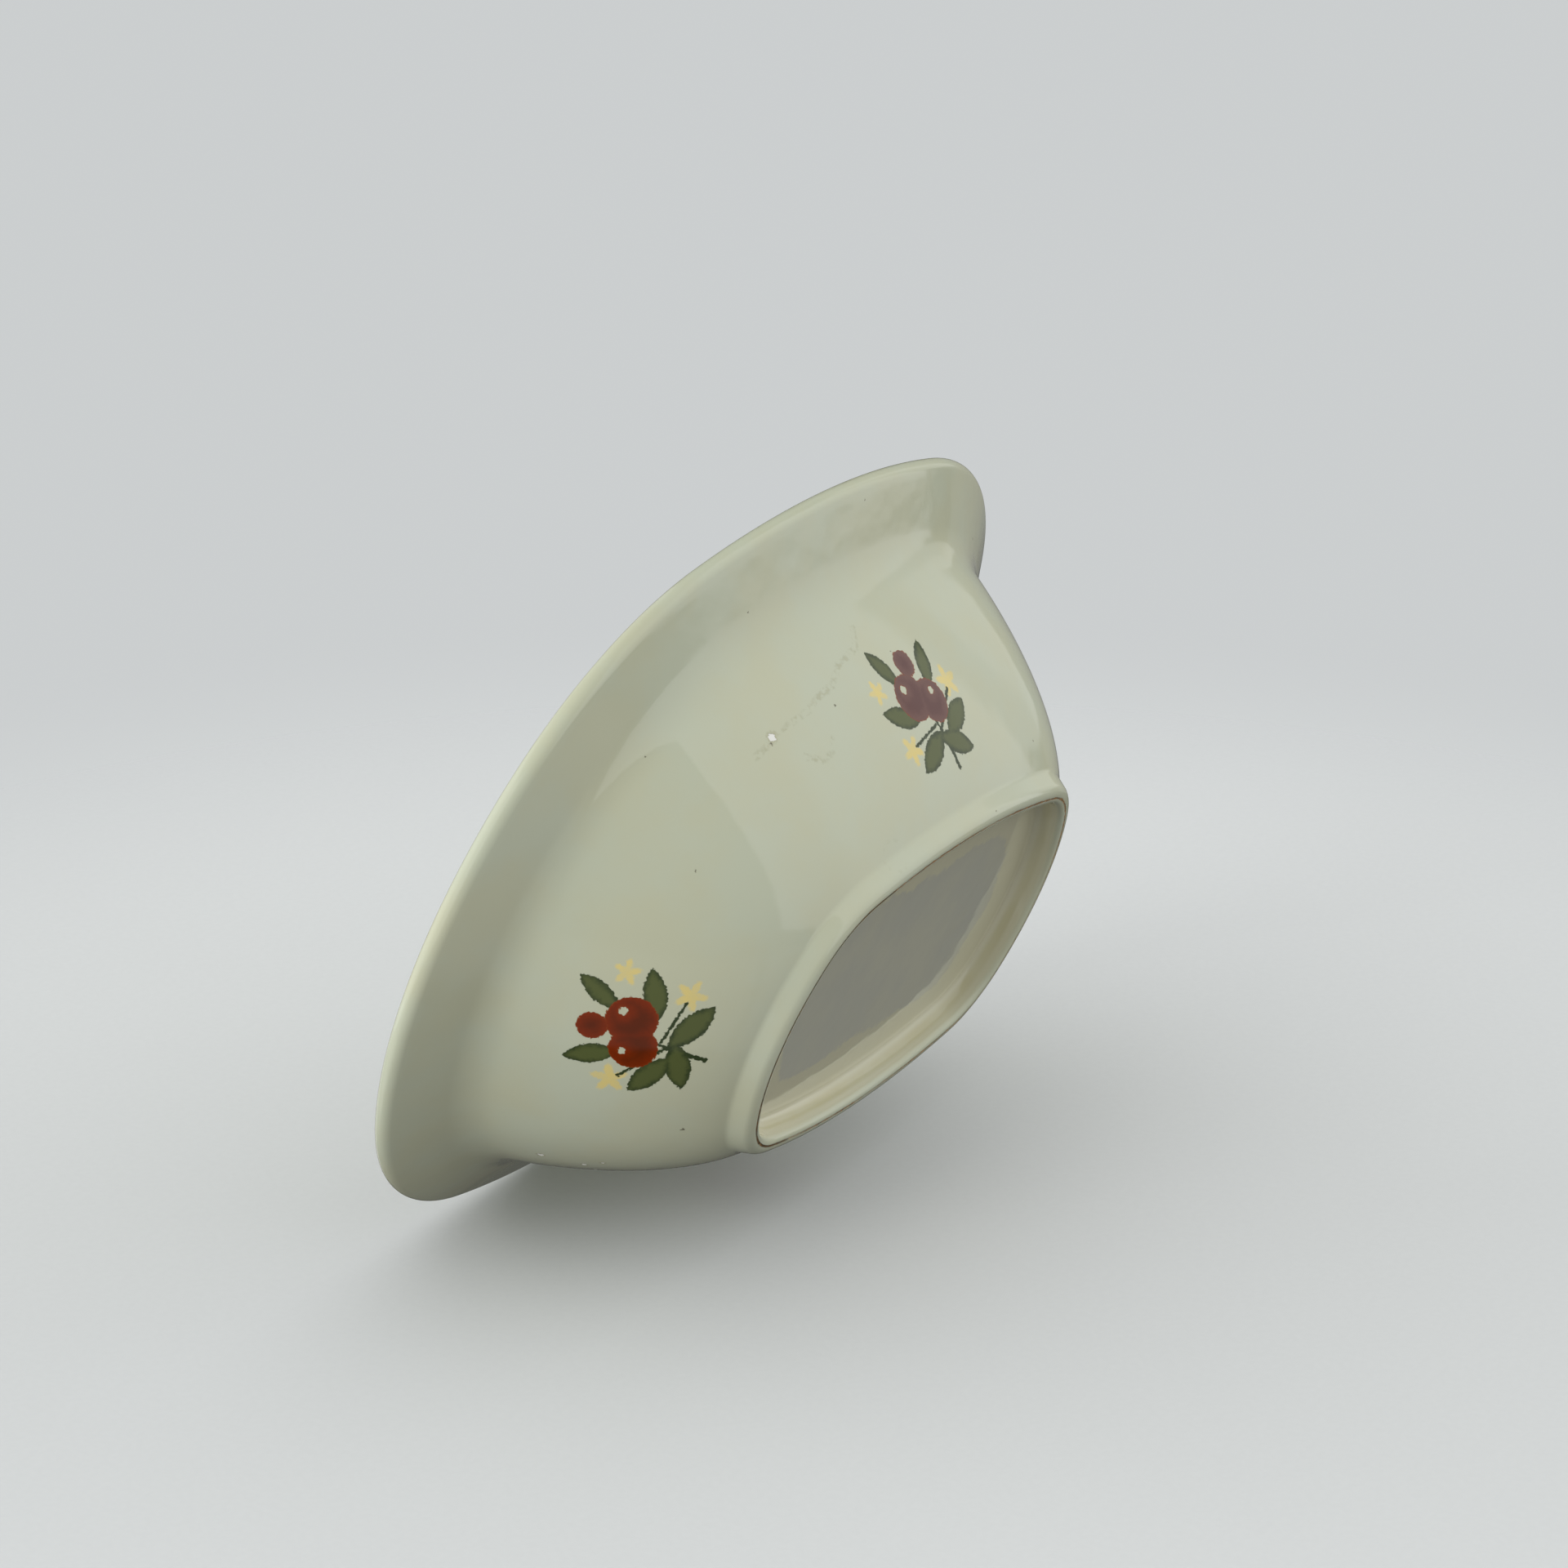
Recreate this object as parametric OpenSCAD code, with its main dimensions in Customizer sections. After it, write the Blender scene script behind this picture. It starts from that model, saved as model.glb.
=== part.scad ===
// Oval pie dish: one piece of glazed earthenware with a flared, rolled rim and a low ring foot.
// The length runs along X, the width along Y, and the dish stands on its foot at z = 0.
// The wall section is swept round an oval of eight tangent arcs, so every level is a true
// parallel of the rim and the wall keeps one section all the way round.

/* [Rim] */
// Length over the rim
rim_l = 312; // [220:1:420]
// Width over the rim
rim_w = 245; // [218:1:330]
// Overall height, foot to the top of the lip
height = 87.5; // [70:0.5:120]
// Thickness of the flared rim, and the diameter of its rolled lip
lip_d = 6.8; // [5:0.1:9]
// Width of the flared rim, from the lip in to the wall
flange_run = 24; // [18:0.5:32]
// Rise of the flared rim, degrees above level
flange_rise = 27; // [10:1:35]
// Radius of the hollow under the rim
cove_r = 20; // [6:0.5:26]
// Radius of the inner shoulder
shoulder_r = 14; // [4:0.5:20]

/* [Oval] */
// Radius of the four corner arcs at the rim
corner_r = 102; // [94:1:108]
// Half sweep of each end arc, degrees
end_sweep = 27.7; // [18:0.1:34]
// Half sweep of each side arc, degrees
side_sweep = 12.2; // [8:0.1:20]

/* [Wall] */
// Distance of the foot in from the rim, seen from above
foot_inset = 69; // [60:0.5:76]
// Lean of the upper wall, degrees from upright
wall_lean = 23; // [14:1:30]
// Thickness of the wall
wall_t = 5.5; // [4:0.1:7]
// Rise of the outer wall where it leaves the foot, degrees above level
wall_rise = 36.5; // [25:0.5:42]
// How far the outer wall keeps that rise, as a share of its span
belly = 0.31; // [0.2:0.01:0.4]

/* [Foot] */
// Height of the ring foot outside
foot_h = 6.5; // [6:0.1:10]
// Outward lean of the ring foot, degrees from upright
foot_lean = 25.5; // [20:0.5:32]
// Radius of the hollow between the ring foot and the wall
foot_fillet = 4; // [2:0.5:4.5]
// Width of the ring foot, from its inner side to the line of its outer side
foot_w = 5.5; // [5.2:0.1:7]
// Rounding of the outer edge of the foot
outer_edge = 4; // [2:0.1:4.2]
// Rounding of the inner edge of the foot
inner_edge = 2; // [0.8:0.1:2.1]
// Depth of the recess inside the ring foot
recess = 7.6; // [5:0.1:9]
// Width of the hollow that joins the recess to the ring foot
recess_cove = 3; // [2:0.1:8]
// Thickness of the base over the recess
base_t = 5.6; // [4.5:0.1:7.5]

/* [Hidden] */
rl = lip_d / 2;
s = flange_rise;
floor_z = recess + base_t;

// The oval: end arc, corner arc and side arc of a quarter, all tangent
a1 = end_sweep;
a2 = 90 - side_sweep;
// Two equations in the centre distances: lengths along X and along Y must close
m11 = 1 - cos(a1);
m12 = cos(a2);
m21 = sin(a1);
m22 = 1 - sin(a2);
kx = rim_l / 2 - corner_r;
ky = rim_w / 2 - corner_r;
det = m11 * m22 - m12 * m21;
end_gap = (kx * m22 - m12 * ky) / det;
side_gap = (m11 * ky - m21 * kx) / det;
end_r = corner_r + end_gap;
side_r = corner_r + side_gap;
end_c = [rim_l / 2 - end_r, 0];
corner_c = end_c + end_gap * [cos(a1), sin(a1)];
side_c = [0, rim_w / 2 - side_r];

// The wall section: x is measured outward from the foot, z up from the table
function arc(c, r, from, to, n, first = 0) =
    [for (i = [first:n]) let (a = from + (to - from) * i / n) c + r * [cos(a), sin(a)]];
function curve(p, n, first = 0) =
    [for (i = [first:n]) let (t = i / n, u = 1 - t)
        u * u * u * p[0] + 3 * u * u * t * p[1] + 3 * u * t * t * p[2] + t * t * t * p[3]];

up = [sin(wall_lean), cos(wall_lean)];
along = [cos(s), sin(s)];
bend = 90 - wall_lean - s;
lip_c = [foot_inset - rl, height - rl];
// corner where the wall and the underside of the rim would meet, and the cove that rounds it
under = lip_c + rl * [sin(s), -cos(s)];
corner_x = foot_inset - flange_run;
corner = [corner_x, under[1] - (under[0] - corner_x) * tan(s)];
cove_run = cove_r * tan(bend / 2);
wall_top = corner - cove_run * up;
cove_c = wall_top + cove_r * [cos(wall_lean), -sin(wall_lean)];
// inner shoulder, where the inner wall would meet the top of the rim
top = lip_c + rl * [-sin(s), cos(s)];
inner_top = wall_top + wall_t * [-cos(wall_lean), sin(wall_lean)];
reach = ((top[0] - inner_top[0]) * sin(s) - (top[1] - inner_top[1]) * cos(s))
    / (up[0] * sin(s) - up[1] * cos(s));
inner_corner = inner_top + reach * up;
shoulder_run = shoulder_r * tan(bend / 2);
shoulder_low = inner_corner - shoulder_run * up;
shoulder_c = shoulder_low + shoulder_r * [cos(wall_lean), -sin(wall_lean)];
// corner where the foot and the outer wall would meet, and the hollow that rounds it
foot_top = [foot_h * tan(foot_lean), foot_h];
out = [cos(wall_rise), sin(wall_rise)];
wall_foot = foot_top + foot_fillet * tan((90 - foot_lean - wall_rise) / 2) * out;
hollow_c = wall_foot + foot_fillet * [out[1], -out[0]];
span = wall_top - wall_foot;
outer_wall = [wall_foot, wall_foot + belly * norm(span) * out, wall_top - 0.34 * span[1] * up, wall_top];
// the inner wall runs more gently into the floor
floor_edge = [-6, floor_z];
inner_wall = [shoulder_low, shoulder_low - 0.4 * span[1] * up,
    floor_edge + [0.46 * span[0], 0], floor_edge];
// the ring foot: its outer edge on the table, its inner edge and the recess
foot_c = [outer_edge * (tan(foot_lean) - 1 / cos(foot_lean)), outer_edge];
ring_in = -foot_w;
recess_edge = [ring_in - recess_cove, recess];
ring_wall = [recess_edge, recess_edge + [0.6 * recess_cove, 0],
    [ring_in, 0.6 * recess], [ring_in, inner_edge]];

section = concat(
    curve(ring_wall, 5),
    arc([ring_in + inner_edge, inner_edge], inner_edge, 180, 270, 3),
    arc(foot_c, outer_edge, 270, 360 - foot_lean, 3),
    arc(hollow_c, foot_fillet, 180 - foot_lean, 90 + wall_rise, 2),
    curve(outer_wall, 12, 1),
    arc(cove_c, cove_r, 180 - wall_lean, 90 + s, 4),
    arc(lip_c, rl, s - 90, 0, 3),
    arc(lip_c, rl, 0, 90, 5, 1),
    arc(lip_c, rl, 90, s + 90, 2, 1),
    arc(shoulder_c, shoulder_r, 90 + s, 180 - wall_lean, 4),
    curve(inner_wall, 10, 1)
);

// The stations round the oval: [arc centre, arc radius, direction]
end_steps = 5;
corner_steps = 8;
side_steps = 5;
quarter = concat(
    [for (i = [0:end_steps - 1]) [end_c, end_r, a1 * i / end_steps]],
    [for (i = [0:corner_steps - 1]) [corner_c, corner_r, a1 + (a2 - a1) * i / corner_steps]],
    [for (i = [0:side_steps - 1]) [side_c, side_r, a2 + (90 - a2) * i / side_steps]]
);
q = len(quarter);
// the other three quarters mirror the first
function station(i) =
    let (turn = floor(i / q), k = i - turn * q, back = turn % 2 == 1)
    let (g = back ? (k == 0 ? [side_c, side_r, 90] : quarter[q - k]) : quarter[k])
    let (sx = turn == 1 || turn == 2 ? -1 : 1, sy = turn > 1 ? -1 : 1)
    [[sx * g[0][0], sy * g[0][1]], g[1], [sx * cos(g[2]), sy * sin(g[2])]];
stations = [for (i = [0:4 * q - 1]) station(i)];

module dish() {
    n = len(stations);
    m = len(section);
    points = [for (st = stations, p = section)
        let (at = st[0] + (st[1] - foot_inset + p[0]) * st[2]) [at[0], at[1], p[1]]];
    skin = [for (i = [0:n - 1], j = [0:m - 2]) let (k = (i + 1) % n)
        [i * m + j, i * m + j + 1, k * m + j + 1, k * m + j]];
    floor_panel = [for (i = [n - 1:-1:0]) i * m + m - 1];
    base_panel = [for (i = [0:n - 1]) i * m];
    color([0.86, 0.85, 0.74])
        polyhedron(points = points, faces = concat(skin, [floor_panel, base_panel]), convexity = 6);
}

dish();
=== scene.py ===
import math

import bmesh
import bpy
import numpy as np
from mathutils import Matrix, Vector
from mathutils.bvhtree import BVHTree


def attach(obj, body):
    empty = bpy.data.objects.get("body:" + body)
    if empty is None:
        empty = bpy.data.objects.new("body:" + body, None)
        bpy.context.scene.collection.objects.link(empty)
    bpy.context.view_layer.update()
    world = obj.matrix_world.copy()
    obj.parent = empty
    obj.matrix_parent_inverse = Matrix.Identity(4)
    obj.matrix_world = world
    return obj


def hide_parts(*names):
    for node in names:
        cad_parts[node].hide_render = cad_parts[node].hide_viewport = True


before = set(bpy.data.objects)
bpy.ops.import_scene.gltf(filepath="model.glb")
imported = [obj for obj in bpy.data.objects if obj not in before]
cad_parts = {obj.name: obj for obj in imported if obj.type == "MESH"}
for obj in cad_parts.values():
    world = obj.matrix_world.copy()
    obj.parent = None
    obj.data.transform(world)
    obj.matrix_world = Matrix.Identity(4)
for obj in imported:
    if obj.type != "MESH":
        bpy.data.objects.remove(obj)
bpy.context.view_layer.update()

MM = 0.001

# The named sizes of the solid
RIM_L, RIM_W, HEIGHT = 312, 245, 87.5
LIP_D, FLANGE_RUN, FLANGE_RISE = 6.8, 24, 27
COVE_R, SHOULDER_R = 20, 14
CORNER_R, END_SWEEP, SIDE_SWEEP = 102, 27.7, 12.2
FOOT_INSET, WALL_LEAN, WALL_T = 69, 23, 5.5
WALL_RISE, BELLY = 36.5, 0.31
FOOT_H, FOOT_LEAN, FOOT_FILLET = 6.5, 25.5, 4
FOOT_W, OUTER_EDGE, INNER_EDGE = 5.5, 4, 2
RECESS, RECESS_COVE, BASE_T = 7.6, 3, 5.6
FLOOR_Z = RECESS + BASE_T
# Where the inner floor's edge is, measured outward from the foot
FLOOR_EDGE_X = -6
# How far the handles of the section's curves reach, as shares of what they span
WALL_TOP_PULL, SHOULDER_PULL, FLOOR_PULL, RING_PULL = 0.34, 0.4, 0.46, 0.6

# The mesh: its longest stretch along the section, its turn between stations in degrees, and the
# rings that fill the base and the inner floor, as shares of their outline
LONGEST_STRETCH, STATION_STEP = 2.2, 1
PANEL_RINGS = (0.86, 0.7, 0.5, 0.28, 0.1)

# The photograph's camera: where it is, and its own right, up and back directions
CAMERA_AT = Vector((1377.67, 812.18, -446.33))
CAMERA_RIGHT = Vector((-0.49066, 0.34319, -0.80092))
CAMERA_UP = Vector((-0.2718, 0.81303, 0.51488))
CAMERA_BACK = Vector((0.82788, 0.47032, -0.30564))
PHOTO_SIZE = 1920
FOCAL_PX = 6709.16
SENSOR = 36
CLIP_M = (0.05, 20)

# The table top that the dish leans over in the photograph
TABLE_NORMAL = Vector((0.0092, 0.9283, 0.3718)).normalized()
TABLE_OFFSET = -82.77


def polar(radius, degrees):
    return radius * np.array([math.cos(math.radians(degrees)), math.sin(math.radians(degrees))])


def arc(centre, radius, start, end, steps, first=0):
    return [centre + polar(radius, start + (end - start) * i / steps) for i in range(first, steps + 1)]


def curve(p, steps, first=0):
    points = []
    for i in range(first, steps + 1):
        t = i / steps
        u = 1 - t
        points.append(u ** 3 * p[0] + 3 * u * u * t * p[1] + 3 * u * t * t * p[2] + t ** 3 * p[3])
    return points


def wall_section():
    """The wall's section from the recess edge round the foot and the rim to the inner floor.
    x is measured outward from the foot, z up. Returns its points and the index where it stands.
    The whole number after a curve's points or an arc's angles is its count of steps."""
    v = lambda x, z: np.array([x, z], float)
    lip_r, rise, lean = LIP_D / 2, math.radians(FLANGE_RISE), math.radians(WALL_LEAN)
    up = v(math.sin(lean), math.cos(lean))
    bend = math.tan(math.radians(90 - WALL_LEAN - FLANGE_RISE) / 2)
    lip = v(FOOT_INSET - lip_r, HEIGHT - lip_r)
    under = lip + lip_r * v(math.sin(rise), -math.cos(rise))
    corner_x = FOOT_INSET - FLANGE_RUN
    corner = v(corner_x, under[1] - (under[0] - corner_x) * math.tan(rise))
    wall_top = corner - COVE_R * bend * up
    cove = wall_top + COVE_R * v(math.cos(lean), -math.sin(lean))
    top = lip + lip_r * v(-math.sin(rise), math.cos(rise))
    inner_top = wall_top + WALL_T * v(-math.cos(lean), math.sin(lean))
    gap = top - inner_top
    reach = (gap[0] * math.sin(rise) - gap[1] * math.cos(rise)) / (
        up[0] * math.sin(rise) - up[1] * math.cos(rise))
    shoulder_low = inner_top + (reach - SHOULDER_R * bend) * up
    shoulder = shoulder_low + SHOULDER_R * v(math.cos(lean), -math.sin(lean))
    foot_slope, out = math.tan(math.radians(FOOT_LEAN)), polar(1, WALL_RISE)
    hollow = FOOT_FILLET * math.tan(math.radians(90 - FOOT_LEAN - WALL_RISE) / 2)
    wall_foot = v(FOOT_H * foot_slope, FOOT_H) + hollow * out
    hollow_centre = wall_foot + FOOT_FILLET * v(out[1], -out[0])
    span = wall_top - wall_foot
    outer_wall = [wall_foot, wall_foot + BELLY * np.hypot(*span) * out,
                  wall_top - WALL_TOP_PULL * span[1] * up, wall_top]
    floor_edge = v(FLOOR_EDGE_X, FLOOR_Z)
    inner_wall = [shoulder_low, shoulder_low - SHOULDER_PULL * span[1] * up,
                  floor_edge + v(FLOOR_PULL * span[0], 0), floor_edge]
    foot_centre = v(OUTER_EDGE * (foot_slope - math.hypot(1, foot_slope)), OUTER_EDGE)
    ring_in = -FOOT_W
    recess_edge = v(ring_in - RECESS_COVE, RECESS)
    ring_wall = [recess_edge, recess_edge + v(RING_PULL * RECESS_COVE, 0),
                 v(ring_in, RING_PULL * RECESS), v(ring_in, INNER_EDGE)]
    inner_foot = curve(ring_wall, 16) + arc(
        v(ring_in + INNER_EDGE, INNER_EDGE), INNER_EDGE, 180, 270, 6, 1)
    rest = (
        arc(foot_centre, OUTER_EDGE, 270, 360 - FOOT_LEAN, 8)
        + arc(hollow_centre, FOOT_FILLET, 180 - FOOT_LEAN, 90 + WALL_RISE, 6)
        + curve(outer_wall, 40, 1)
        + arc(cove, COVE_R, 180 - WALL_LEAN, 90 + FLANGE_RISE, 12, 1)
        + arc(lip, lip_r, FLANGE_RISE - 90, 0, 9)
        + arc(lip, lip_r, 0, 90, 12, 1)
        + arc(lip, lip_r, 90, FLANGE_RISE + 90, 4, 1)
        + arc(shoulder, SHOULDER_R, 90 + FLANGE_RISE, 180 - WALL_LEAN, 12)
        + curve(inner_wall, 36, 1)
    )
    stand = 0.5 * (inner_foot[-1] + rest[0])
    return np.array(inner_foot + [stand] + rest), len(inner_foot)


def refine(points, longest):
    """Adds points on straight stretches that are longer than this, so quads stay even."""
    out = [points[0]]
    for a, b in zip(points[:-1], points[1:]):
        n = max(1, math.ceil(np.hypot(*(b - a)) / longest))
        out += [a + (b - a) * i / n for i in range(1, n + 1)]
    return np.array(out)


def oval_stations(step):
    """Centre, radius and direction at even steps of angle round the oval's eight tangent arcs."""
    a1, a2 = math.radians(END_SWEEP), math.radians(90 - SIDE_SWEEP)
    sides = np.array([[1 - math.cos(a1), math.cos(a2)], [math.sin(a1), 1 - math.sin(a2)]])
    end_gap, side_gap = np.linalg.solve(sides, [RIM_L / 2 - CORNER_R, RIM_W / 2 - CORNER_R])
    end = (RIM_L / 2 - CORNER_R - end_gap, 0)
    corner = (end[0] + end_gap * math.cos(a1), end_gap * math.sin(a1))
    side = (0, RIM_W / 2 - CORNER_R - side_gap)
    stations = []
    for turn in range(round(360 / step)):
        angle = math.radians(turn * step)
        c, s = math.cos(angle), math.sin(angle)
        fold = math.atan2(abs(s), abs(c))
        if fold < a1:
            centre, radius = end, CORNER_R + end_gap
        elif fold < a2:
            centre, radius = corner, CORNER_R
        else:
            centre, radius = side, CORNER_R + side_gap
        centre = np.array(centre) * (math.copysign(1, c), math.copysign(1, s))
        stations.append((centre, radius, np.array([c, s])))
    return stations


def dish_mesh():
    """The whole skin, with the distance along the section kept for each vertex."""
    section, stand = wall_section()
    stand_at = section[stand]
    section = refine(section, LONGEST_STRETCH)
    stand = int(np.argmin(np.hypot(*(section - stand_at).T)))
    run = np.concatenate([[0], np.cumsum(np.hypot(*np.diff(section, axis=0).T))])
    run -= run[stand]
    stations = oval_stations(STATION_STEP)
    n, m = len(stations), len(section)
    verts, runs = [], []
    for centre, radius, way in stations:
        for (x, z), r in zip(section, run):
            at = centre + (radius - FOOT_INSET + x) * way
            verts.append((at[0], at[1], z))
            runs.append(r)
    faces = [(i * m + j, (i + 1) % n * m + j, (i + 1) % n * m + j + 1, i * m + j + 1)
             for i in range(n) for j in range(m - 1)]
    for column, z in ((0, RECESS), (m - 1, FLOOR_Z)):
        outer = [i * m + column for i in range(n)]
        edge = [verts[i][:2] for i in outer]
        inward = -1 if column == 0 else 1
        for share in PANEL_RINGS:
            inner = list(range(len(verts), len(verts) + n))
            for x, y in edge:
                verts.append((x * share, y * share, z))
                runs.append(run[column] + inward * math.hypot(x, y) * (1 - share))
            faces += [(outer[i], inner[i], inner[(i + 1) % n], outer[(i + 1) % n]) for i in range(n)]
            outer = inner
        faces.append(tuple(outer))
    return verts, faces, runs


def add_mesh(name, verts, faces):
    mesh = bpy.data.meshes.new(name)
    mesh.from_pydata([tuple(c * MM for c in v) for v in verts], [], faces)
    mesh.update()
    obj = bpy.data.objects.new(name, mesh)
    bpy.context.scene.collection.objects.link(obj)
    return obj


def make_dish():
    verts, faces, runs = dish_mesh()
    obj = add_mesh("oval_dish", verts, faces)
    work = bmesh.new()
    work.from_mesh(obj.data)
    bmesh.ops.recalc_face_normals(work, faces=work.faces)
    work.to_mesh(obj.data)
    work.free()
    obj.data.attributes.new("run", "FLOAT", "POINT").data.foreach_set("value", runs)
    obj.data.shade_smooth()
    return obj


def pixel_ray(x, y):
    """Direction from the camera through a pixel of the 1920 x 1920 photograph."""
    half = PHOTO_SIZE / 2
    ray = CAMERA_RIGHT * (x - half) - CAMERA_UP * (y - half) - CAMERA_BACK * FOCAL_PX
    return ray.normalized()


def find_on(tree, x, y):
    """The point and normal of the glaze under a pixel of the photograph, in metres."""
    point, normal, _, _ = tree.ray_cast(CAMERA_AT * MM, pixel_ray(x, y))
    if point is None:
        raise ValueError(f"no glaze under pixel {x}, {y}")
    return point, normal


class Tree:
    """Short names for the nodes that the materials use."""

    def __init__(self, material):
        material.use_nodes = True
        self.tree = material.node_tree
        self.tree.nodes.clear()

    def add(self, kind, **settings):
        node = self.tree.nodes.new(kind)
        for key, value in settings.items():
            setattr(node, key, value)
        return node

    def put(self, socket, value):
        if isinstance(value, bpy.types.NodeSocket):
            self.tree.links.new(value, socket)
        elif value is not None:
            socket.default_value = value

    def math(self, operation, a, b=None, c=None, clamp=False):
        node = self.add("ShaderNodeMath", operation=operation, use_clamp=clamp)
        for socket, value in zip(node.inputs, (a, b, c)):
            self.put(socket, value)
        return node.outputs[0]

    def vector(self, operation, a, b=None, scale=None):
        node = self.add("ShaderNodeVectorMath", operation=operation)
        self.put(node.inputs[0], a)
        self.put(node.inputs[1], b)
        if scale is not None:
            self.put(node.inputs["Scale"], scale)
        return node.outputs["Value" if operation in ("DOT_PRODUCT", "LENGTH", "DISTANCE") else "Vector"]

    def combine(self, x, y, z=0.0):
        node = self.add("ShaderNodeCombineXYZ")
        for socket, value in zip(node.inputs, (x, y, z)):
            self.put(socket, value)
        return node.outputs[0]

    def ramp(self, value, low, high, to_low=0.0, to_high=1.0):
        """A smooth step from one value to another."""
        node = self.add("ShaderNodeMapRange", interpolation_type="SMOOTHSTEP")
        for socket, v in zip(node.inputs, (value, low, high, to_low, to_high)):
            self.put(socket, v)
        return node.outputs[0]

    def noise(self, where, scale, detail=2.0, roughness=0.5, colour=False):
        node = self.add("ShaderNodeTexNoise")
        self.put(node.inputs["Vector"], where)
        self.put(node.inputs["Scale"], scale)
        self.put(node.inputs["Detail"], detail)
        self.put(node.inputs["Roughness"], roughness)
        return node.outputs["Color" if colour else "Fac"]

    def mix(self, share, a, b):
        node = self.add("ShaderNodeMix", data_type="RGBA")
        self.put(node.inputs["Factor"], share)
        self.put(node.inputs["A"], a)
        self.put(node.inputs["B"], b)
        return node.outputs["Result"]

    def bump(self, height, distance, normal=None):
        node = self.add("ShaderNodeBump")
        self.put(node.inputs["Height"], height)
        self.put(node.inputs["Distance"], distance)
        self.put(node.inputs["Strength"], 1.0)
        self.put(node.inputs["Normal"], normal)
        return node.outputs[0]

    def place(self):
        """Where the shaded point is, in millimetres."""
        return self.vector("SCALE", self.add("ShaderNodeTexCoord").outputs["Object"], scale=1 / MM)

    def largest(self, values):
        result = values[0]
        for value in values[1:]:
            result = self.math("MAXIMUM", result, value)
        return result


def srgb(r, g, b):
    """A colour as a screen shows it, 0 to 255, as Blender's linear values."""
    linear = [((c / 255 + 0.055) / 1.055) ** 2.4 if c > 10 else c / 255 / 12.92 for c in (r, g, b)]
    return (*linear, 1.0)


# The glaze, the recess's tones (painted light and painted reflection), the foot's clay, the marks
CREAM = srgb(187, 192, 171)
CREAM_WARM = srgb(188, 190, 165)
# Painted reflection of the foot's inner slope in the glossy base
DULL_REFLECTION_CREAM = srgb(176, 173, 149)
# A tan tone for the groove inside the foot
GROOVE_TAN = srgb(180, 173, 128)
# Painted light: the foot's inner slope made lighter, as where it turns toward the light
SLOPE_PAINTED_LIGHT = srgb(208, 202, 176)
# Painted reflection: grey surroundings mirrored in the glossy base panel
PANEL_REFLECTION_GREY = srgb(174, 175, 163)
FOOT_BROWN = srgb(84, 66, 40)
FOOT_TAN = srgb(158, 108, 46)
BISCUIT = srgb(226, 226, 220)
SPECK = srgb(70, 58, 44)
STAIN = srgb(158, 155, 126)

# The prints' inks
BRICK = srgb(122, 40, 2)
BRICK_DARK = srgb(92, 34, 4)
BRICK_EDGE = srgb(128, 58, 18)
MAROON = srgb(104, 70, 62)
MAROON_DARK = srgb(88, 52, 48)
OLIVE = srgb(84, 92, 52)
OLIVE_DARK = srgb(50, 62, 36)
STRAW = srgb(222, 200, 118)

# Pixels of the photograph where prints and marks are, with the marks' radius
END_PRINT = (785, 1270)
SIDE_PRINT = (1135, 865)
SMEARS = (
    ((1044, 768), (1048, 793), (1026, 815), (1020, 838),
     (1003, 853), (990, 870), (968, 886), (950, 897)),
    ((942, 911), (926, 927)),
    ((1020, 904), (1021, 917), (1010, 931), (987, 927)),
)
SMEAR_RADIUS = 1.1
FOOT_STAIN, FOOT_STAIN_RADIUS = (1095, 1049), 5.0
SPECKS = (
    ((1059, 612), 0.45), ((1191, 660), 0.45), ((1265, 907), 0.4), ((851, 1067), 0.35),
    ((790, 926), 0.35), ((836, 1383), 0.5), ((1220, 993), 0.35),
    ((1022, 864), 0.45), ((944, 911), 0.5), ((1090, 797), 0.35), ((916, 749), 0.4),
)
CHIPS = (
    ((945, 903), 1.3), ((662, 1414), 0.9), ((716, 1426), 0.7), ((729, 1432), 0.6), ((738, 1424), 0.5),
)

# The sprig's parts, from its middle. Blossoms: x, y, radius, turn in degrees
BLOSSOMS = ((-17.5, 4.0, 5.8, 20), (17.0, -9.5, 5.2, 60), (19.0, 10.5, 4.4, 5))
# Leaves: x, y, half length, half width, turn in degrees
LEAVES = (
    (-12.5, -6.5, 9.0, 3.9, 154), (-7.0, -13.5, 9.0, 3.8, 205), (7.0, -13.0, 9.6, 4.0, -28),
    (-10.5, 12.0, 8.4, 3.5, 118), (14.5, 0.5, 8.6, 3.6, 24), (10.5, 16.0, 7.8, 3.2, 64),
)
# Stems: x and y of one end, x and y of the other, radius
STEMS = (
    (-3.0, -20.5, -1.5, -8.0, 0.85), (-1.5, -8.0, 2.5, 12.0, 0.6),
    (-1.5, -8.0, -15.5, 2.0, 0.6), (0.0, -6.0, 14.5, -9.0, 0.55),
)
# Fruits and the light spots on them: x, y, radius
FRUITS = ((-4.4, 1.0, 7.3), (4.6, 4.4, 7.8), (-1.0, 14.6, 4.6))
SHINES = ((6.8, 7.6, 1.3), (-6.4, 3.8, 1.1))

# How far the grain shakes the outlines of prints and marks
PRINT_SHAKE, MARK_SHAKE = 1.5, 1.6
# Depths inside a shape between which its ink or mark comes in
BLOSSOM_EDGE, LEAF_EDGE = (-0.5, 1.1), (-0.12, 0.2)
FRUIT_EDGE, FRUIT_RIM = (-0.1, 0.16), (0.0, 0.55)
LEAF_SHADE, FRUIT_SHADE = (1.2, 3.6), (1.5, 6.5)
SMEAR_EDGE, SPECK_EDGE = (-0.4, 0.5), (-0.15, 0.25)
CHIP_EDGE, CHIP_HALO = (-0.15, 0.15), (-1.0, -0.2)
STAIN_LINE, BARE_EDGE = (0.9, 0.2), (-0.08, 0.12)

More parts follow.
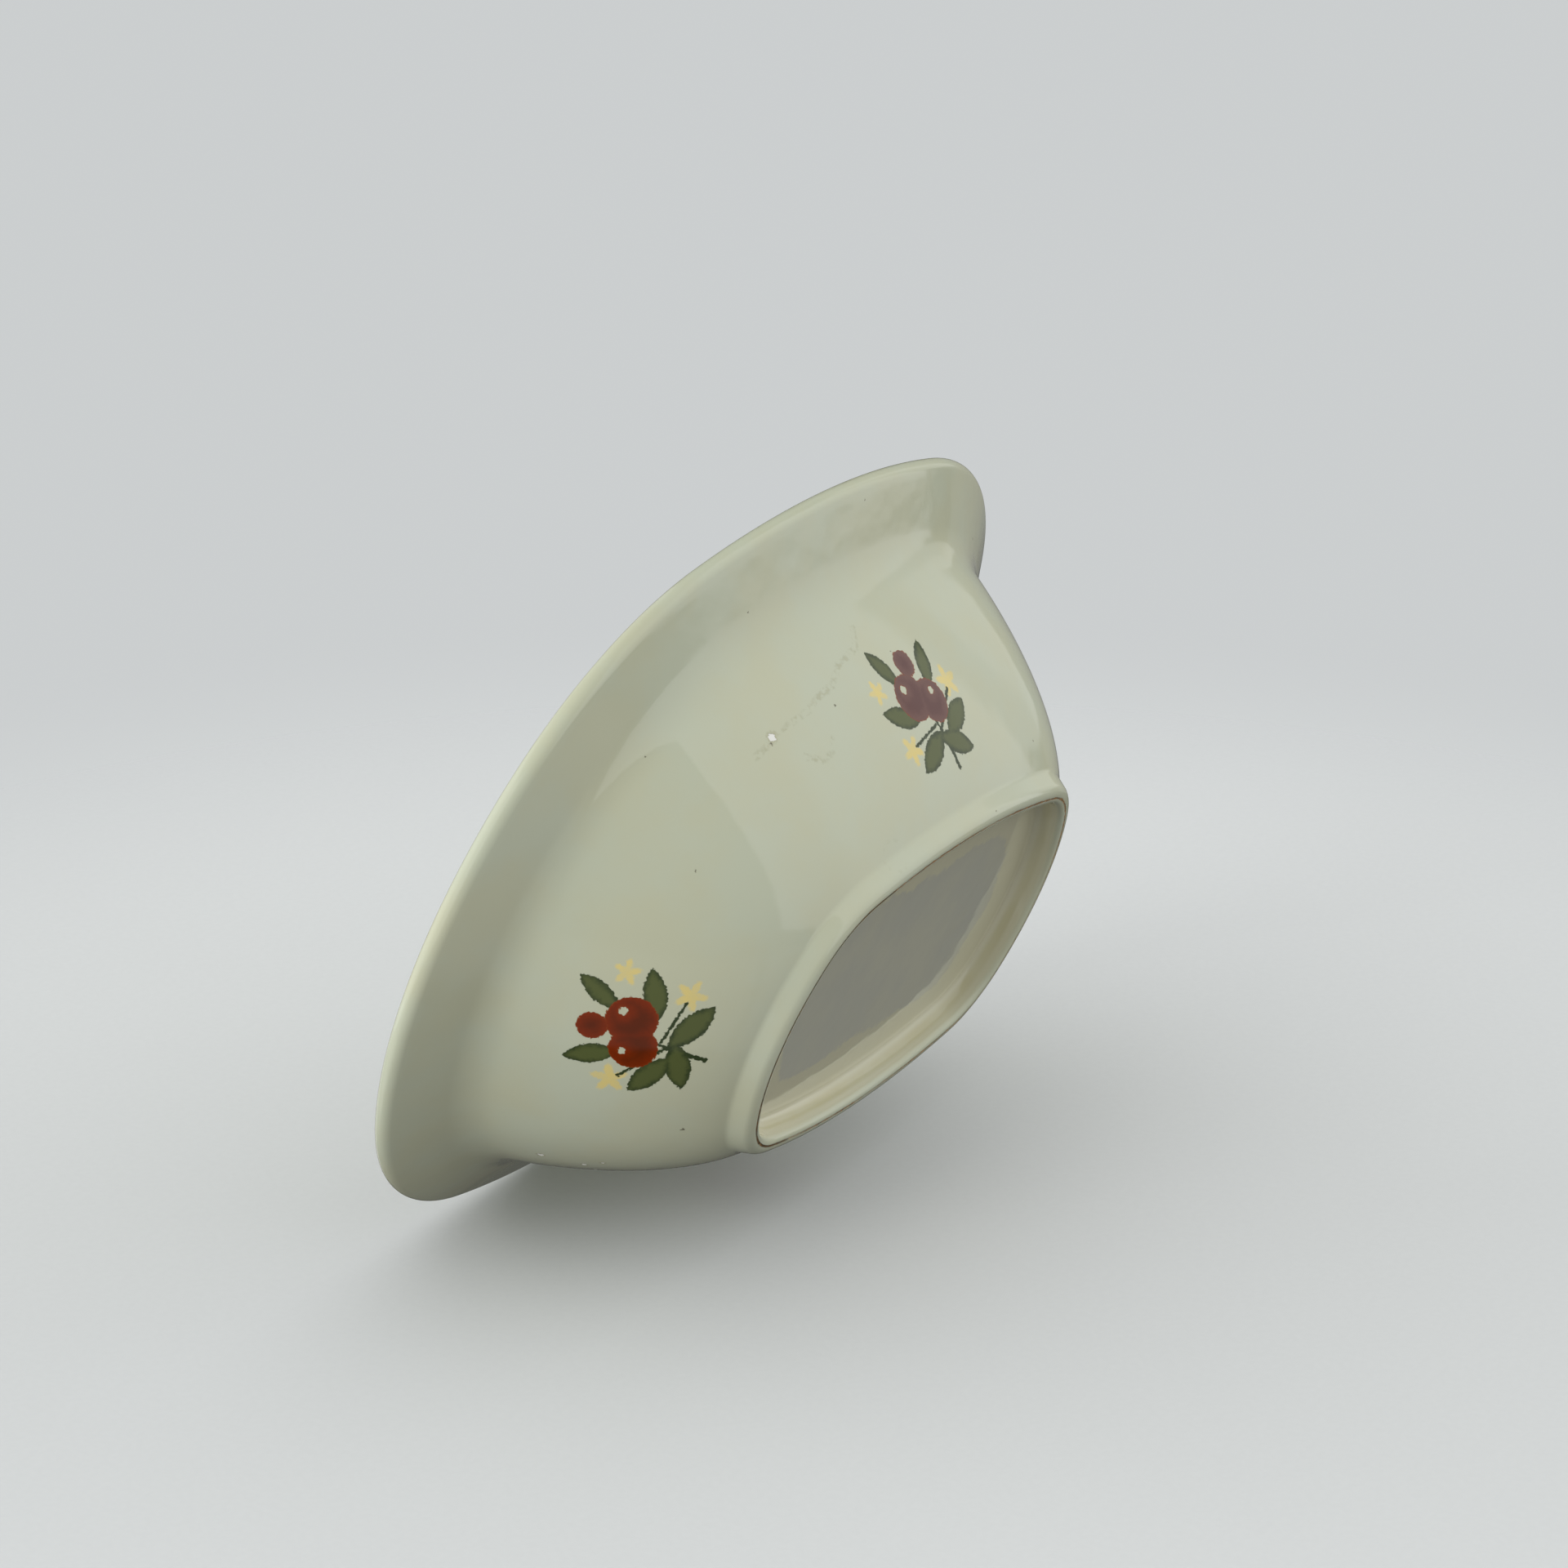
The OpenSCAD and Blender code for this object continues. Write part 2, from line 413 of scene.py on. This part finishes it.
# Distances along the section from the foot's crest, outward positive, between which the outside
# ends and each tone of the recess comes in: the slope's painted light, and the dull margin's and the
# panel's painted reflections
OUTSIDE_END = (97.0, 95.0)
SLOPE_FROM, DULL_FROM, PANEL_FROM = (-2.0, -4.0), (-11.5, -14.0), (-18.5, -20.5)
GROOVE_AT, GROOVE_WIDTH = -6.6, (2.4, 0.6)
# How wide the foot's bare line may grow with the noise, and how much narrower it is everywhere
BARE_RAGGED, BARE_NICKS, BARE_NARROWER = 1.0, 0.8, 0.55

GLAZE_IOR = 1.5
GLAZE_ROUGH, GLAZE_ROUGH_MORE, MATT_ROUGH_MORE = 0.03, 0.03, 0.6
# Heights of the surface's unevenness, in metres
RIPPLE_M, PEEL_M, WEAR_M = 0.00018, 0.000006, 0.00012


def print_plane(t, place, at, normal, fold_axis):
    """Flat coordinates of a print: x to the right and y towards the rim, from its middle, in mm.
    The print repeats on the opposite side of the dish."""
    split = t.add("ShaderNodeSeparateXYZ")
    t.put(split.inputs[0], place)
    x, y, z = split.outputs
    side = t.math("SIGN", x if fold_axis == "x" else y)
    folded = t.combine(t.math("MULTIPLY", x, side), t.math("MULTIPLY", y, side), z)
    up = (Vector((0, 0, 1)) - normal * normal.z).normalized()
    right = up.cross(normal)
    from_middle = t.vector("SUBTRACT", folded, tuple(at))
    return t.combine(t.vector("DOT_PRODUCT", from_middle, tuple(right)),
                     t.vector("DOT_PRODUCT", from_middle, tuple(up)))


def turned(t, flat, centre, degrees):
    """Flat coordinates from a shape's own middle, turned so that its length lies along x."""
    a = math.radians(degrees)
    from_middle = t.vector("SUBTRACT", flat, (*centre, 0.0))
    return (t.vector("DOT_PRODUCT", from_middle, (math.cos(a), math.sin(a), 0.0)),
            t.vector("DOT_PRODUCT", from_middle, (-math.sin(a), math.cos(a), 0.0)))


def disc(t, flat, centre, radius):
    """Depth inside a round shape, in mm, negative outside it."""
    return t.math("SUBTRACT", radius, t.vector("DISTANCE", flat, (*centre, 0.0)))


def leaf(t, flat, centre, degrees, half_length, half_width):
    """Depth inside a pointed leaf."""
    radius = (half_length ** 2 + half_width ** 2) / (2 * half_width)
    x, y = turned(t, flat, centre, degrees)
    across = t.math("ADD", t.math("ABSOLUTE", y), radius - half_width)
    return t.math("SUBTRACT", radius, t.vector("LENGTH", t.combine(x, across)))


def stroke(t, where, start, end, radius):
    """Depth inside a round-ended stroke between two points."""
    start, end = Vector(start), Vector(end)
    way = end - start
    from_start = t.vector("SUBTRACT", where, tuple(start))
    along = t.vector("DOT_PRODUCT", from_start, tuple(way))
    share = t.math("DIVIDE", along, way.length_squared, clamp=True)
    nearest = t.vector("SCALE", tuple(way), scale=share)
    return t.math("SUBTRACT", radius, t.vector("DISTANCE", from_start, nearest))


def blossom(t, flat, centre, radius, degrees, petals=5):
    """Depth inside a flower with round petals."""
    x, y = turned(t, flat, centre, degrees)
    wave = t.math("COSINE", t.math("MULTIPLY", t.math("ARCTAN2", y, x), float(petals)))
    reach = t.math("MULTIPLY_ADD", wave, 0.27 * radius, 0.73 * radius)
    return t.math("SUBTRACT", reach, t.vector("LENGTH", t.combine(x, y)))


def shaken(t, where, grain, reach):
    """A place moved a little by the grain, so that outlines come out ragged."""
    off = t.vector("SUBTRACT", grain, (0.5, 0.5, 0.5))
    return t.vector("ADD", where, t.vector("SCALE", off, scale=reach))


def sprig_print(t, base, flat, grain, outside, inks, mirror):
    """A sponged sprig: straw blossoms, olive leaves and stems, and fruit over them."""
    fruit, fruit_dark, fruit_edge = inks
    ragged = shaken(t, flat, grain, PRINT_SHAKE)
    soft = t.noise(flat, 0.22, 3)

    def turn(degrees):
        return degrees if mirror > 0 else 180 - degrees

    def discs(parts):
        return t.largest([disc(t, ragged, (mirror * x, y), radius) for x, y, radius in parts])

    flowers = t.largest([blossom(t, ragged, (mirror * x, y), radius, turn(degrees))
                         for x, y, radius, degrees in BLOSSOMS])
    share = t.math("MULTIPLY", t.ramp(flowers, *BLOSSOM_EDGE), t.ramp(soft, 0.2, 0.7, 0.55, 0.85))
    colour = t.mix(t.math("MULTIPLY", share, outside), base, STRAW)

    leaves = t.largest([leaf(t, ragged, (mirror * x, y), turn(degrees), half_length, half_width)
                        for x, y, half_length, half_width, degrees in LEAVES])
    stems = t.largest([stroke(t, ragged, (mirror * x, y, 0), (mirror * to_x, to_y, 0), radius)
                       for x, y, to_x, to_y, radius in STEMS])
    green = t.math("MAXIMUM", leaves, stems)
    deep = t.math("ADD", leaves, t.math("MULTIPLY", soft, 3.0))
    shade = t.mix(t.ramp(deep, *LEAF_SHADE), OLIVE_DARK, OLIVE)
    colour = t.mix(t.math("MULTIPLY", t.ramp(green, *LEAF_EDGE), outside), colour, shade)

    fruits = t.math("MINIMUM", discs(FRUITS), t.math("MULTIPLY", discs(SHINES), -1.0))
    deep = t.math("ADD", fruits, t.math("MULTIPLY", soft, 4.0))
    body = t.mix(t.ramp(deep, *FRUIT_SHADE), fruit, fruit_dark)
    body = t.mix(t.ramp(fruits, *FRUIT_RIM), fruit_edge, body)
    return t.mix(t.math("MULTIPLY", t.ramp(fruits, *FRUIT_EDGE), outside), colour, body)


def spots(t, where, tree, marks):
    """Depth inside the nearest of some round marks, each under a pixel of the photograph."""
    depths = []
    for pixel, radius in marks:
        at, _ = find_on(tree, *pixel)
        depths.append(t.math("SUBTRACT", radius, t.vector("DISTANCE", where, tuple(at / MM))))
    return t.largest(depths)


def glaze_colour(t, place, run):
    """Cream that is warmer where the glaze runs thick. In the recess it turns to a slope lighter with
    painted light, a tan tone in the groove, and a dull margin and a greyer panel with a wavy edge that
    are painted reflections."""
    cloud = t.noise(place, 0.03, 4, 0.55)
    colour = t.mix(t.ramp(cloud, 0.35, 0.65), CREAM, CREAM_WARM)
    # Painted light: the slope inside the foot is lighter
    colour = t.mix(t.ramp(run, *SLOPE_FROM, 0.0, 0.55), colour, SLOPE_PAINTED_LIGHT)
    # Painted reflection: a dull margin that mirrors the slope in the glossy panel
    colour = t.mix(t.ramp(run, *DULL_FROM, 0.0, 0.45), colour, DULL_REFLECTION_CREAM)
    # Painted reflection: the panel turns greyer, with a wavy, mottled edge, as if mirroring grey
    # surroundings
    fine_waver = t.math("MULTIPLY", t.noise(place, 0.45, 3), 5.0)
    waver = t.math("MULTIPLY_ADD", t.noise(place, 0.07, 2), 9.0, fine_waver)
    panel = t.ramp(t.math("ADD", run, waver), *PANEL_FROM)
    mottled = t.ramp(t.noise(place, 0.05, 3), 0.3, 0.7, 0.62, 0.92)
    colour = t.mix(t.math("MULTIPLY", panel, mottled), colour, PANEL_REFLECTION_GREY)
    # A patchy tan tone along the groove inside the foot
    groove = t.math("ABSOLUTE", t.math("SUBTRACT", run, GROOVE_AT))
    groove_tint = t.math("MULTIPLY", t.ramp(groove, *GROOVE_WIDTH),
                    t.ramp(t.noise(place, 0.06), 0.2, 0.7, 0.1, 0.4))
    return t.mix(groove_tint, colour, GROOVE_TAN)


def marks_of_use(t, colour, place, grain, tree):
    """Rubbed smears, a stain by the foot, dark specks and chips. Returns the colour with them, and
    where the chips lay the body bare."""
    rough_place = shaken(t, place, grain, MARK_SHAKE)
    smears = []
    for path in SMEARS:
        points = [tuple(find_on(tree, *pixel)[0] / MM) for pixel in path]
        smears += [stroke(t, rough_place, a, b, SMEAR_RADIUS) for a, b in zip(points, points[1:])]
    broken = t.ramp(t.noise(place, 0.5, 3), 0.42, 0.66, 0.0, 0.42)
    smeared = t.ramp(t.largest(smears), *SMEAR_EDGE)
    colour = t.mix(t.math("MULTIPLY", smeared, broken), colour, STAIN)
    ring = t.math("ABSOLUTE", spots(t, rough_place, tree, [(FOOT_STAIN, FOOT_STAIN_RADIUS)]))
    stained = t.ramp(ring, *STAIN_LINE, 0.0, 0.35)
    colour = t.mix(t.math("MULTIPLY", stained, broken), colour, STAIN)
    specks = spots(t, rough_place, tree, SPECKS)
    colour = t.mix(t.ramp(specks, *SPECK_EDGE, 0.0, 0.8), colour, SPECK)
    chips = spots(t, rough_place, tree, CHIPS)
    colour = t.mix(t.ramp(chips, *CHIP_HALO, 0.0, 0.45), colour, STAIN)
    chipped = t.ramp(chips, *CHIP_EDGE)
    return t.mix(chipped, colour, BISCUIT), chipped


def bare_foot(t, place, run):
    """Share of bare clay along the foot's crest, ragged and broken."""
    nicks = t.math("MULTIPLY", t.noise(place, 1.3, 2), BARE_NICKS)
    half_width = t.math("MULTIPLY_ADD", t.noise(place, 0.25, 4, 0.7), BARE_RAGGED,
                        t.math("SUBTRACT", nicks, BARE_NARROWER))
    depth = t.math("SUBTRACT", half_width, t.math("ABSOLUTE", run))
    worn = t.ramp(t.noise(place, 0.02, 1), 0.35, 0.6, 0.5, 0.95)
    return t.math("MULTIPLY", t.ramp(depth, *BARE_EDGE), worn)


def glaze_normal(t, place, matt):
    """The glaze's slow ripple and fine peel, sunk a little where it is worn away."""
    normal = t.bump(t.noise(place, 0.07, 2, 0.4), RIPPLE_M)
    normal = t.bump(t.noise(place, 0.5, 2, 0.5), PEEL_M, normal)
    return t.bump(t.math("MULTIPLY", matt, -1.0), WEAR_M, normal)


def make_glaze(obj, tree):
    material = bpy.data.materials.new("cream_glaze")
    t = Tree(material)
    place = t.place()
    run = t.add("ShaderNodeAttribute", attribute_name="run").outputs["Fac"]
    outside = t.ramp(run, *OUTSIDE_END)
    grain = t.noise(place, 1.1, 2, colour=True)

    colour = glaze_colour(t, place, run)
    for pixel, axis, inks, mirror in (
        (END_PRINT, "x", (BRICK, BRICK_DARK, BRICK_EDGE), 1),
        (SIDE_PRINT, "y", (MAROON, MAROON_DARK, BRICK_EDGE), -1),
    ):
        at, normal = find_on(tree, *pixel)
        flat = print_plane(t, place, at / MM, normal, axis)
        colour = sprig_print(t, colour, flat, grain, outside, inks, mirror)
    colour, chipped = marks_of_use(t, colour, place, grain, tree)
    bare = bare_foot(t, place, run)
    clay = t.mix(t.ramp(t.noise(place, 0.9, 3), 0.35, 0.65), FOOT_BROWN, FOOT_TAN)
    colour = t.mix(bare, colour, clay)

    matt = t.math("MAXIMUM", bare, chipped)
    roughness = t.math("MULTIPLY_ADD", t.noise(place, 0.12, 3), GLAZE_ROUGH_MORE, GLAZE_ROUGH)
    roughness = t.math("MULTIPLY_ADD", matt, MATT_ROUGH_MORE, roughness)

    shader = t.add("ShaderNodeBsdfPrincipled")
    t.put(shader.inputs["Base Color"], colour)
    t.put(shader.inputs["Roughness"], roughness)
    t.put(shader.inputs["Normal"], glaze_normal(t, place, matt))
    shader.inputs["IOR"].default_value = GLAZE_IOR
    out = t.add("ShaderNodeOutputMaterial")
    t.put(out.inputs["Surface"], shader.outputs[0])
    obj.data.materials.append(material)


# The background as the camera sees it, and the floor, which fades into it between two radii
PALE = (0.60, 0.62, 0.625, 1.0)
FLOOR_COLOUR = (0.63, 0.65, 0.655, 1.0)
FLOOR_MOTTLE = 0.985
FLOOR_FADE = (330, 620)
FLOOR_STEPS, FLOOR_MARGIN = 96, 1.05
FLOOR_ROUGH, FLOOR_SHEEN = 0.9, 0.1


def stage_disc(name, centre, normal):
    """A pale floor that fades into the background, seen from its upper side only. It takes the
    object's shadow and throws no light on the object."""
    fade_from, fade_to = FLOOR_FADE
    rim = [(*polar(fade_to * FLOOR_MARGIN, 360 * i / FLOOR_STEPS), 0) for i in range(FLOOR_STEPS)]
    obj = add_mesh(name, rim, [tuple(range(FLOOR_STEPS))])
    facing = normal.to_track_quat("Z", "Y").to_matrix().to_4x4()
    obj.matrix_world = Matrix.Translation(centre * MM) @ facing
    material = bpy.data.materials.new(name)
    t = Tree(material)
    from_middle = t.vector("LENGTH", t.place())
    shown = t.math("MULTIPLY", t.ramp(from_middle, fade_to, fade_from),
                   t.math("SUBTRACT", 1.0, t.add("ShaderNodeNewGeometry").outputs["Backfacing"]))
    darker = (*(c * FLOOR_MOTTLE for c in FLOOR_COLOUR[:3]), 1.0)
    grain = t.mix(t.ramp(t.noise(t.place(), 0.4, 3), 0.3, 0.7), FLOOR_COLOUR, darker)
    surface = t.add("ShaderNodeBsdfPrincipled")
    t.put(surface.inputs["Base Color"], grain)
    surface.inputs["Roughness"].default_value = FLOOR_ROUGH
    surface.inputs["Specular IOR Level"].default_value = FLOOR_SHEEN
    clear = t.add("ShaderNodeBsdfTransparent")
    mix = t.add("ShaderNodeMixShader")
    t.put(mix.inputs[0], shown)
    t.put(mix.inputs[1], clear.outputs[0])
    t.put(mix.inputs[2], surface.outputs[0])
    out = t.add("ShaderNodeOutputMaterial")
    t.put(out.inputs["Surface"], mix.outputs[0])
    obj.data.materials.append(material)
    for ray in ("visible_diffuse", "visible_glossy", "visible_transmission", "visible_shadow"):
        setattr(obj, ray, False)


# The ambient, for light and for gloss: its level low down and high up, and the heights between
# which it changes, as the sine of the angle above the table
AMBIENT_TINT = (1.0, 1.0, 0.99, 1.0)
AMBIENT_LIGHT, AMBIENT_GLOSS = (0.0, 0.83), (0.05, 0.0)
AMBIENT_RISE = (-0.25, 0.55)

# Soft boxes round the studio: name, middle in degrees right of the camera and in degrees above the
# table, half width and half height in degrees, how much light the box gives, and how bright its
# reflection in the gloss is. Both levels were set to the photograph's shading.
SOFT_BOXES = (
    ("key_left", -42, 6, 15, 26, 2.65, 0.9),
    ("side_left", -95, 6, 31, 26, 1.5, 1.1),
    ("low_left", -90, -35, 25, 15, 1.15, 0.4),
    ("low_front", -8, -36, 47, 16, 0.85, 0.2),
    ("near_right", 70.5, 6, 21.5, 26, 0.55, 0.0),
    ("far_right", 115, 6, 23, 26, 1.85, 0.0),
    ("back_right", 156, 8, 18, 26, 0.5, 0.15),
    ("low_right", 85, -36, 42, 16, 0.0, 0.24),
    ("high_right", 88, 60, 49, 12, 0.0, 0.2),
    ("high_front", -6, 48, 42, 20, 0.5, 0.0),
    ("back_left", -145, 10, 19, 45, 0.0, 0.4),
    ("back_low", -150, -25, 30, 25, 0.4, 0.0),
    ("wide_right", 89, 19, 42, 31, 0.0, 0.85),
    ("edge_right", 139, 14, 8, 17, 0.0, 0.45),
)
# Half the width of a box's soft edge, in degrees
BOX_EDGE = 1.5


def make_world():
    """Soft boxes and a soft ambient that grows brighter upward light the dish. Glossy rays see the
    boxes at their gloss levels, and camera and transmission rays see a plain pale background."""
    world = bpy.data.worlds.new("studio")
    bpy.context.scene.world = world
    t = Tree(world)
    way = t.add("ShaderNodeTexCoord").outputs["Generated"]
    front = (CAMERA_BACK - TABLE_NORMAL * CAMERA_BACK.dot(TABLE_NORMAL)).normalized()
    height = t.vector("DOT_PRODUCT", way, tuple(TABLE_NORMAL))
    right = t.vector("DOT_PRODUCT", way, tuple(TABLE_NORMAL.cross(front)))
    turn = t.math("ARCTAN2", right, t.vector("DOT_PRODUCT", way, tuple(front)))
    rise = t.math("ARCSINE", height)
    light, gloss = (t.ramp(height, *AMBIENT_RISE, *levels) for levels in (AMBIENT_LIGHT, AMBIENT_GLOSS))
    for name, middle, above, half_width, half_height, light_level, gloss_level in SOFT_BOXES:
        shares = []
        for angle, centre, half in ((turn, middle, half_width), (rise, above, half_height)):
            off = t.math("ABSOLUTE", t.math("SUBTRACT", t.math("DEGREES", angle), centre))
            shares.append(t.ramp(off, half + BOX_EDGE, half - BOX_EDGE))
        lit = t.math("MULTIPLY", *shares)
        lit.node.label = name
        light = t.math("MULTIPLY_ADD", lit, light_level, light)
        gloss = t.math("MULTIPLY_ADD", lit, gloss_level, gloss)
    ray = t.add("ShaderNodeLightPath")
    glossy = ray.outputs["Is Glossy Ray"]
    level = t.math("ADD", t.math("MULTIPLY", gloss, glossy),
                   t.math("MULTIPLY", light, t.math("SUBTRACT", 1.0, glossy)))
    soft = t.add("ShaderNodeBackground")
    soft.inputs["Color"].default_value = AMBIENT_TINT
    t.put(soft.inputs["Strength"], level)
    plain = t.add("ShaderNodeBackground")
    plain.inputs["Color"].default_value = PALE
    seen = t.math("MAXIMUM", ray.outputs["Is Camera Ray"], ray.outputs["Is Transmission Ray"])
    mix = t.add("ShaderNodeMixShader")
    t.put(mix.inputs[0], seen)
    t.put(mix.inputs[1], soft.outputs[0])
    t.put(mix.inputs[2], plain.outputs[0])
    out = t.add("ShaderNodeOutputWorld")
    t.put(out.inputs["Surface"], mix.outputs[0])


def make_camera():
    data = bpy.data.cameras.new("photo_camera")
    data.sensor_width = SENSOR
    data.lens = FOCAL_PX * SENSOR / PHOTO_SIZE
    data.clip_start, data.clip_end = CLIP_M
    camera = bpy.data.objects.new("photo_camera", data)
    axes = Matrix((CAMERA_RIGHT, CAMERA_UP, CAMERA_BACK)).transposed().to_4x4()
    camera.matrix_world = Matrix.Translation(CAMERA_AT * MM) @ axes
    bpy.context.scene.collection.objects.link(camera)
    bpy.context.scene.camera = camera


def main():
    bpy.context.scene.view_settings.view_transform = "Standard"
    make_camera()
    dish = make_dish()
    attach(dish, "root")
    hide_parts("dish")
    mesh = dish.data
    tree = BVHTree.FromPolygons([v.co for v in mesh.vertices], [p.vertices for p in mesh.polygons])
    make_glaze(dish, tree)
    stage_disc("floor", Vector((0, 0, 0)), Vector((0, 0, 1)))
    stage_disc("table", TABLE_NORMAL * TABLE_OFFSET, TABLE_NORMAL)
    make_world()


main()
